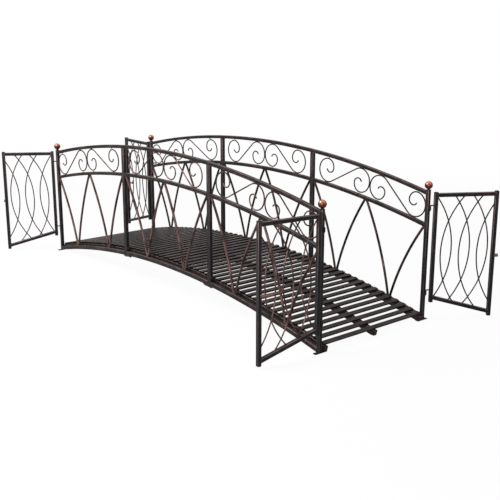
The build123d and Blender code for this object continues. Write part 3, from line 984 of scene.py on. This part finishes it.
# Deck
def beam(y):
    """One of the curved beams, cut square to the arch at its ends."""
    line = DECK_R + BEAM_TALL / 2
    centre = Vector((0, 0, DECK_RISE - DECK_R))
    spread = degrees(asin(BEAM_REACH / DECK_R))
    at = centre + heading_vector(90 + spread) * line
    bm = bar(tube_section(BEAM_TALL, BEAM_WIDE), at, spread, [bend(line, -2 * spread)])
    return shifted(trim(bm, (0, 0, FOOT_THICK), (0, 0, -1)), y=y)


def slat(turn):
    """One open slat, turned with the arch."""
    bm = tube_section(SLAT_WIDE - SLAT_CLEAR, SLAT_TALL - SLAT_CLEAR, SLAT_CORNER)
    made = bmesh.ops.extrude_edge_only(bm, edges=bm.edges[:])["geom"]
    verts, _ = ring_of(made)
    bmesh.ops.translate(bm, vec=(0, 0, 2 * BEAM_OUT_Y), verts=verts)
    start = random.uniform(0, GRAIN_SHIFT)
    grain = bm.verts.layers.float_vector["grain"]
    for v in bm.verts:
        v[grain] = (start + v.co.z, v.co.x, v.co.y)
    middle = DECK_R + BEAM_TALL + SLAT_TALL / 2
    x, z = middle * sin(turn), middle * cos(turn) + DECK_RISE - DECK_R
    along = Vector((cos(turn), 0, -sin(turn)))
    rise = Vector((sin(turn), 0, cos(turn)))
    place = Matrix((along, rise, -ACROSS)).transposed().to_4x4()
    place.translation = (x, BEAM_OUT_Y, z)
    moved(bm, place)
    bmesh.ops.recalc_face_normals(bm, faces=bm.faces[:])
    return bm


def make_deck():
    """The beams, slats and spacers."""
    for side, y in (("front", -BEAM_Y), ("centre", 0.0), ("back", BEAM_Y)):
        make(f"{side}_beam_tube", [beam(y)], low_paint, [f"{side}_beam"])
    top = DECK_R + BEAM_TALL + SLAT_TALL
    # The last slat's upper corner is flush with the outside of the end posts
    last = asin(POST_OUT / hypot(top, SLAT_WIDE / 2)) - atan(SLAT_WIDE / 2 / top)
    steps = (SLAT_COUNT - 1) // 2
    slats = [slat(last * i / steps) for i in range(-steps, steps + 1)]
    third = SLAT_COUNT // 3
    for i, bay in enumerate(BAYS):
        make(f"slat_tubes_{bay}", slats[i * third:(i + 1) * third], deck_paint,
             [f"slats_{bay}"], walls=SLAT_WALL)
    spacers = [disc(SPACER / 2, BEAM_INSET, SPACER_SIDES, (x, BEAM_OUT_Y, bottom_rail_z(x)),
                    ACROSS) for x in SPACER_XS]
    make("spacer_tubes", four_corners(spacers), low_paint, ["spacers"])


# Feet, splices and end posts
def foot_plate():
    """A flat plate with an anchor hole."""
    bm = fresh()
    low, high = BEAM_OUT_Y - BEAM_WIDE, RAILING_Y + POST / 2 + FOOT_TAB
    long = BEAM_REACH - POST_IN
    middle = POST_IN + long / 2
    corners = bmesh.ops.create_grid(bm, x_segments=1, y_segments=1, size=0.5)["verts"]
    bmesh.ops.scale(bm, vec=(long, high - low, 1), verts=corners)
    bmesh.ops.translate(bm, vec=(middle, (low + high) / 2, 0), verts=corners)
    bmesh.ops.bevel(bm, geom=corners, offset=FOOT_CORNER, segments=CORNER_STEPS, profile=0.5,
                    affect="VERTICES", material=-1)
    bmesh.ops.delete(bm, geom=bm.faces[:], context="FACES_ONLY")
    bmesh.ops.create_circle(bm, segments=ROUND_SIDES, radius=FOOT_HOLE_R,
                            matrix=Matrix.Translation((middle, high - FOOT_TAB / 2, 0)))
    bmesh.ops.triangle_fill(bm, use_beauty=True, edges=bm.edges[:])
    made = bmesh.ops.extrude_face_region(bm, geom=bm.faces[:])["geom"]
    verts = [g for g in made if isinstance(g, bmesh.types.BMVert)]
    bmesh.ops.translate(bm, vec=(0, 0, FOOT_THICK), verts=verts)
    bmesh.ops.recalc_face_normals(bm, faces=bm.faces[:])
    return bm


def splice_plate():
    """A curved plate under the joint of two side panels."""
    x0, x1 = SPLICE_X - SPLICE_LONG / 2, SPLICE_X + SPLICE_LONG / 2
    section = tube_section(SPLICE_THICK, RAIL_WIDE, SPLICE_CORNER)
    return shifted(arched(section, DECK_R, DECK_RISE, SPLICE_THICK, x0, x1), y=RAILING_Y)


def finial():
    """A copper ball on its neck."""
    ball = fresh()
    bmesh.ops.create_uvsphere(ball, u_segments=BALL_SIDES, v_segments=BALL_RINGS,
                              radius=BALL_R)
    shifted(ball, HALF, RAILING_Y, BALL_Z)
    low, high = POST_TOP - SINK, BALL_Z - BALL_R
    neck = lathe([(0, low), (NECK_SEAT_R, low), (NECK_SEAT_R, low + NECK_SEAT_TALL),
                  (NECK_R, low + NECK_FLARE), (NECK_R, high), (0, high)], ROUND_SIDES)
    return ball, shifted(neck, HALF, RAILING_Y)


def post():
    """A square end post with a shallow lid."""
    body = upright(HALF, FOOT_THICK, POST_BODY_TOP, POST, POST, RAILING_Y)
    lid = upright(HALF, LID_LOW, POST_TOP, POST, POST, RAILING_Y)
    core = upright(HALF, CORE_LOW, CORE_TOP, CORE, CORE, RAILING_Y)
    return [body, lid, core]


def short_tube(low, high, outer, bore, sides, at, axis=UP):
    """A short tube with chamfered rims."""
    rim = RIM_CHAMFER
    return lathe([(bore, low), (outer - rim, low), (outer, low + rim), (outer, high - rim),
                  (outer - rim, high), (bore, high), (bore, low)], sides, at, axis)


def sleeve(x, y, leg):
    """A short tube for a hinge pin."""
    low = leg - PIN_R - SEAM - SLEEVE_TALL
    return short_tube(low, low + SLEEVE_TALL, SLEEVE_R, PIN_R + PIN_CLEAR, ROUND_SIDES,
                      (x, y, 0))


def stile_bolts():
    """Bolts through the two stiles of a joint, their heads in the middle bay."""
    return [bm for z in STILE_BOLT_HEIGHTS
            for bm in bolted((STILE_IN, RAILING_Y, z), (STILE_OUT, RAILING_Y, z))]


def spacer_bolts():
    """Bolts through the bottom rail, a spacer and the side beam."""
    made = []
    for x in SPACER_XS:
        z = bottom_rail_z(x)
        made += bolted((x, RAILING_Y + RAIL_WIDE / 2, z), (x, BEAM_OUT_Y - BEAM_WIDE, z))
    return made


def splice_bolts():
    """The heads of two bolts under each splice."""
    made = []
    for x in (SPLICE_X - SPLICE_BOLT, SPLICE_X + SPLICE_BOLT):
        line = DECK_R - SPLICE_THICK
        z = arch_z(x, line, DECK_RISE - SPLICE_THICK)
        made += hexagon((x, RAILING_Y, z), (-x / line, 0, -sqrt(1 - (x / line) ** 2)), HEAD_TALL)
    return made


def make_ends():
    """Feet, splices, posts, finials, hinge sleeves and the bridge's bolts."""
    make("foot_plates", four_corners([foot_plate()]), low_paint, ["feet"])
    make("splice_plates", four_corners([splice_plate()]), low_paint, ["splices"])
    make("end_post_tubes", four_corners(post()), tube_paint, ["end_posts"])
    ball, neck = finial()
    make("copper_balls", four_corners([ball]), ball_copper, ["finials"])
    make("ball_necks", four_corners([neck]), bolt_copper, ["finials"])
    make("stile_bolts", four_corners(stile_bolts()), screw_paint,
         ["front_stiles", "back_stiles"])
    make("spacer_bolts", four_corners(spacer_bolts()), screw_paint, ["spacers"])
    make("splice_bolts", four_corners(splice_bolts()), screw_paint, ["splices"])
    sleeves = [sleeve(HINGE_X, RAILING_Y, leg) for leg in HINGE_HEIGHTS]
    make("hinge_sleeve_tubes", four_corners(sleeves), tube_paint, ["hinge_sleeves"])


# Gates, drawn with the hinge axis at the origin and the leaf along X
def leaf_frame():
    """The four tubes that frame a leaf."""
    made = []
    for s, low in ((HINGE_STILE, GATE_LOW_HINGE), (FREE_STILE, GATE_LOW_FREE)):
        made.append(upright(s, low, GATE_TOP, TUBE, TUBE, 0))
    first, last = HINGE_STILE + TUBE / 2 - SINK, FREE_STILE - TUBE / 2 + SINK
    made.append(bar(tube_section(TUBE, TUBE), (first, 0, GATE_RAIL_TOP - TUBE / 2), 0,
                    [run(last - first)]))
    drop = SILL_HINGE - SILL_FREE
    slant = hypot(drop, FREE_STILE - HINGE_STILE)
    sill = bar(tube_section(TUBE, TUBE), (HINGE_STILE, 0, SILL_HINGE),
               -degrees(asin(drop / slant)), [run(slant)])
    trim(sill, (first, 0, 0), (-1, 0, 0))
    made.append(trim(sill, (last, 0, 0), (1, 0, 0)))
    return made


def lattice():
    """The bowed rods that cross each other inside the frame."""
    made = []
    slope = Vector((SILL_HINGE - SILL_FREE, 0, FREE_STILE - HINGE_STILE)).normalized()
    for first, radius, z, bow in LATTICE_ROWS:
        spread = degrees(asin((GATE_TOP - TUBE) / 2 / radius))
        for i in range(LATTICE_COUNT):
            apex = HINGE_STILE + first + i * LATTICE_STEP
            centre = Vector((apex - bow * radius, 0, z))
            start = -spread if bow > 0 else 180 - spread
            bm = bar(rod_section(LATTICE_ROD / 2, LATTICE_SIDES),
                     centre + heading_vector(start) * radius, start + 90,
                     [bend(radius, 2 * spread)])
            trim(bm, (HINGE_STILE + LATTICE_END, 0, 0), (-1, 0, 0))
            trim(bm, (FREE_STILE - LATTICE_END, 0, 0), (1, 0, 0))
            trim(bm, (0, 0, GATE_RAIL_TOP - TUBE / 2), (0, 0, 1))
            made.append(trim(bm, (HINGE_STILE, 0, SILL_HINGE), -slope))
    return made


def rod_at(row, i, z):
    """How far along the leaf one lattice rod is at a height."""
    first, radius, middle, bow = row
    apex = HINGE_STILE + first + i * LATTICE_STEP
    return apex - bow * (radius - sqrt(radius ** 2 - (z - middle) ** 2))


def in_opening(s, z):
    """Whether a place on the leaf is inside its frame."""
    inset = TUBE / 2
    sill = SILL_HINGE + (SILL_FREE - SILL_HINGE) * (s - HINGE_STILE) / (FREE_STILE - HINGE_STILE)
    return (HINGE_STILE + inset < s < FREE_STILE - inset
            and sill + inset < z < GATE_RAIL_TOP - TUBE)


def lattice_welds():
    """Welds where the rods meet the frame and where they cross."""
    made = []
    for row in LATTICE_ROWS:
        for i in range(LATTICE_COUNT):
            for way in (-1, 1):
                z = row[2]
                while in_opening(rod_at(row, i, z), z):
                    z += way
                made.append(weld((rod_at(row, i, z), 0, z), UP, *LATTICE_WELD))
    out, back = LATTICE_ROWS
    for i in range(LATTICE_COUNT):
        for j in range(LATTICE_COUNT):
            gaps = [rod_at(out, i, z) - rod_at(back, j, z) for z in WELD_SCAN]
            for z, gap, after in zip(WELD_SCAN, gaps, gaps[1:]):
                if gap * after <= 0 and in_opening(rod_at(out, i, z), z):
                    made.append(weld((rod_at(out, i, z), 0, z), UP, *CROSSING_WELD))
    return made


def pins():
    """Two bent hinge pins."""
    reach = HINGE_STILE - TUBE / 2
    return [bar(rod_section(PIN_R, PIN_SIDES), (0, 0, leg - PIN_DROP), 90,
                [run(PIN_DROP - PIN_BEND), bend(PIN_BEND, -90), run(reach - PIN_BEND + SINK)])
            for leg in HINGE_HEIGHTS]


def tube_along(start, end, offset, outer, bore):
    """A short tube that lies along a leaf, beside it."""
    return short_tube(0, end - start, outer, bore, LATCH_SIDES, (start, offset, BOLT_Z),
                      (1, 0, 0))


def slide_bolt(offset):
    """A round bolt with its tail bent up as a handle."""
    tail = BOLT_TAIL + BOLT_R
    return bar(rod_section(BOLT_R, PIN_SIDES), (BOLT_NOSE, offset, BOLT_Z), 180,
               [run(BOLT_NOSE - tail - BOLT_BEND), bend(BOLT_BEND, -90),
                run(BOLT_HANDLE - BOLT_BEND)])


def gate_place(name):
    """Where a gate hangs, and the angle at which it stands open."""
    end, side = SIDES[name]
    turn = -90 * side + end * side * REST_ANGLES[name]
    hinge = Matrix.Translation((end * HINGE_X, side * RAILING_Y, 0))
    return hinge @ Matrix.Rotation(radians(turn), 4, "Z")


def make_latch(name, place):
    """The bolt in its sleeve, or the keeper that takes the other leaf's bolt."""
    end, side = SIDES[name]
    if end * side > 0:
        ring = tube_along(FREE_STILE, FREE_STILE + KEEPER_LONG, -TUBE / 2 - KEEPER_R,
                          KEEPER_R, KEEPER_BORE_R)
        make(f"{name}_latch_ring", [moved(ring, place)], shell_paint, [f"{name}_keeper"],
             body=f"{name}_gate")
        return
    offset = TUBE / 2 + BOLT_SLEEVE_R
    # The sleeve leaves room for the bolt's tail and its travel
    start = BOLT_TAIL + 3 * BOLT_R + BOLT_TRAVEL
    shell = tube_along(start, BOLT_SLEEVE_END, offset, BOLT_SLEEVE_R, BOLT_BORE_R)
    make(f"{name}_latch_tube", [moved(shell, place)], shell_paint, [f"{name}_bolt_sleeve"],
         body=f"{name}_gate")
    make(f"{name}_latch_bolt", [moved(slide_bolt(offset), place)], bolt_copper,
         [f"{name}_slide_bolt"], body=f"{name}_bolt")


def make_gate(name):
    """The leaf, its hinge pins and its half of the latch."""
    place = gate_place(name)
    rod_paint = front_rod_paint if name == "front_right" else back_rod_paint
    ends = [(HINGE_STILE, GATE_TOP, 1), (FREE_STILE, GATE_TOP, 1),
            (HINGE_STILE, GATE_LOW_HINGE, -1), (FREE_STILE, GATE_LOW_FREE, -1)]
    for piece, bars, finish, replaced in (
            ("leaf_tubes", leaf_frame(), tube_paint, "leaf"),
            ("lattice_rods", lattice(), rod_paint, "leaf"),
            ("lattice_welds", lattice_welds(), weld_paint, "leaf"),
            ("stile_caps", [cap(*end) for end in ends], cap_paint, "leaf"),
            ("pins", pins(), tube_paint, "hinge_pins")):
        make(f"{name}_{piece}", [moved(bm, place) for bm in bars], finish,
             [f"{name}_{replaced}"], body=f"{name}_gate")
    make_latch(name, place)


make_railing("front", -RAILING_Y, front_rod_paint)
make_railing("back", RAILING_Y, back_rod_paint)
make_deck()
make_ends()
for gate in SIDES:
    make_gate(gate)


# Floor, light and camera
WHITE = (1, 1, 1, 1)
WORLD_LIGHT = 0.2
FLOOR_REACH = 60.0        # metres, as are the lengths below
FLOOR_GREY = (0.86, 0.86, 0.86, 1)
FLOOR_NEAR = 0.95         # how much of its white the floor keeps in the object's shadow
FLOOR_MIRRORED = 0.5      # the same, as metal mirrors it
FADE_RANGE = (1.8, 6.0)   # from the bridge's middle, where the floor turns fully white

# Each lamp's place, the point that it faces, its width and its power
LAMPS = {"key": ((-1.2, -3.6, 4.4), (0, 0, 0.4), 2.6, 370),
         "fill": ((4.5, 1.5, 3.0), (0, 0, 0.4), 2.5, 25),
         "low_fill": ((3.4, -4.2, 0.8), (0.8, -0.3, 0.3), 1.4, 70)}

# The camera, as fitted to the photograph
CAMERA_AT = (4.0597, -3.1271, 1.5177)
CAMERA_DOWN = 0.2521      # below level, in radians
CAMERA_TURN = 0.8795      # round from +Y, in radians
CAMERA_LENS = 61.38
CAMERA_SENSOR = 36
CAMERA_SHIFT = (0.0075, -0.0021)


def show(tree, share, first, second, output):
    """Shows one shader and, by a share, another."""
    both = node(tree, "ShaderNodeMixShader")
    for source, socket in zip((share, first.outputs[0], second.outputs[0]), both.inputs):
        link(tree, source, socket)
    link(tree, both.outputs[0], node(tree, output).inputs["Surface"])


def floor_paint():
    """Matt grey that shows near white and keeps a soft shadow under the bridge."""
    material = bpy.data.materials.new("pale_floor")
    material.use_nodes = True
    tree = material.node_tree
    tree.nodes.clear()
    matt = node(tree, "ShaderNodeBsdfDiffuse", Color=FLOOR_GREY)
    glow = node(tree, "ShaderNodeEmission", Color=WHITE, Strength=1.0)
    rays = node(tree, "ShaderNodeLightPath")
    place = node(tree, "ShaderNodeTexCoord")
    distance = node(tree, "ShaderNodeVectorMath", operation="LENGTH")
    link(tree, place.outputs["Object"], distance.inputs[0])
    fade = spread_of(tree, distance.outputs["Value"], *FADE_RANGE, FLOOR_NEAR, 1.0)
    straight = sum_of(tree, rays.outputs["Is Camera Ray"], rays.outputs["Is Transmission Ray"])
    mirrored_rays = product_of(tree, rays.outputs["Is Glossy Ray"], FLOOR_MIRRORED)
    seen = sum_of(tree, product_of(tree, straight, fade), mirrored_rays)
    show(tree, seen, matt, glow, "ShaderNodeOutputMaterial")
    return material


def pale_floor():
    """A wide plain floor."""
    bm = bmesh.new()
    bmesh.ops.create_grid(bm, x_segments=1, y_segments=1, size=FLOOR_REACH)
    mesh = bpy.data.meshes.new("floor")
    bm.to_mesh(mesh)
    bm.free()
    floor = bpy.data.objects.new("floor", mesh)
    bpy.context.scene.collection.objects.link(floor)
    mesh.materials.append(floor_paint())


def pale_world():
    """Soft even light, with a white background wherever it is seen or reflected."""
    world = bpy.data.worlds.new("studio")
    bpy.context.scene.world = world
    world.use_nodes = True
    tree = world.node_tree
    tree.nodes.clear()
    rays = node(tree, "ShaderNodeLightPath")
    seen = sum_of(tree, rays.outputs["Is Camera Ray"], rays.outputs["Is Glossy Ray"],
                  rays.outputs["Is Transmission Ray"])
    light = node(tree, "ShaderNodeBackground", Color=WHITE, Strength=WORLD_LIGHT)
    white = node(tree, "ShaderNodeBackground", Color=WHITE, Strength=1.0)
    show(tree, seen, light, white, "ShaderNodeOutputWorld")


def soft_lamp(name, at, target, size, power):
    """A large soft lamp that faces a point."""
    data = bpy.data.lights.new(name, "AREA")
    data.shape, data.size, data.energy = "SQUARE", size, power
    lamp = bpy.data.objects.new(name, data)
    lamp.location = at
    lamp.rotation_euler = (Vector(target) - Vector(at)).to_track_quat("-Z", "Y").to_euler()
    bpy.context.scene.collection.objects.link(lamp)


def photo_camera():
    """The camera of the photograph."""
    data = bpy.data.cameras.new("camera")
    data.sensor_width = CAMERA_SENSOR
    data.lens = CAMERA_LENS
    data.shift_x, data.shift_y = CAMERA_SHIFT
    camera = bpy.data.objects.new("camera", data)
    camera.location = CAMERA_AT
    camera.rotation_euler = (pi / 2 - CAMERA_DOWN, 0, CAMERA_TURN)
    bpy.context.scene.collection.objects.link(camera)
    bpy.context.scene.camera = camera


pale_floor()
pale_world()
for lamp, setting in LAMPS.items():
    soft_lamp(lamp, *setting)
photo_camera()
bpy.context.scene.view_settings.view_transform = "Standard"
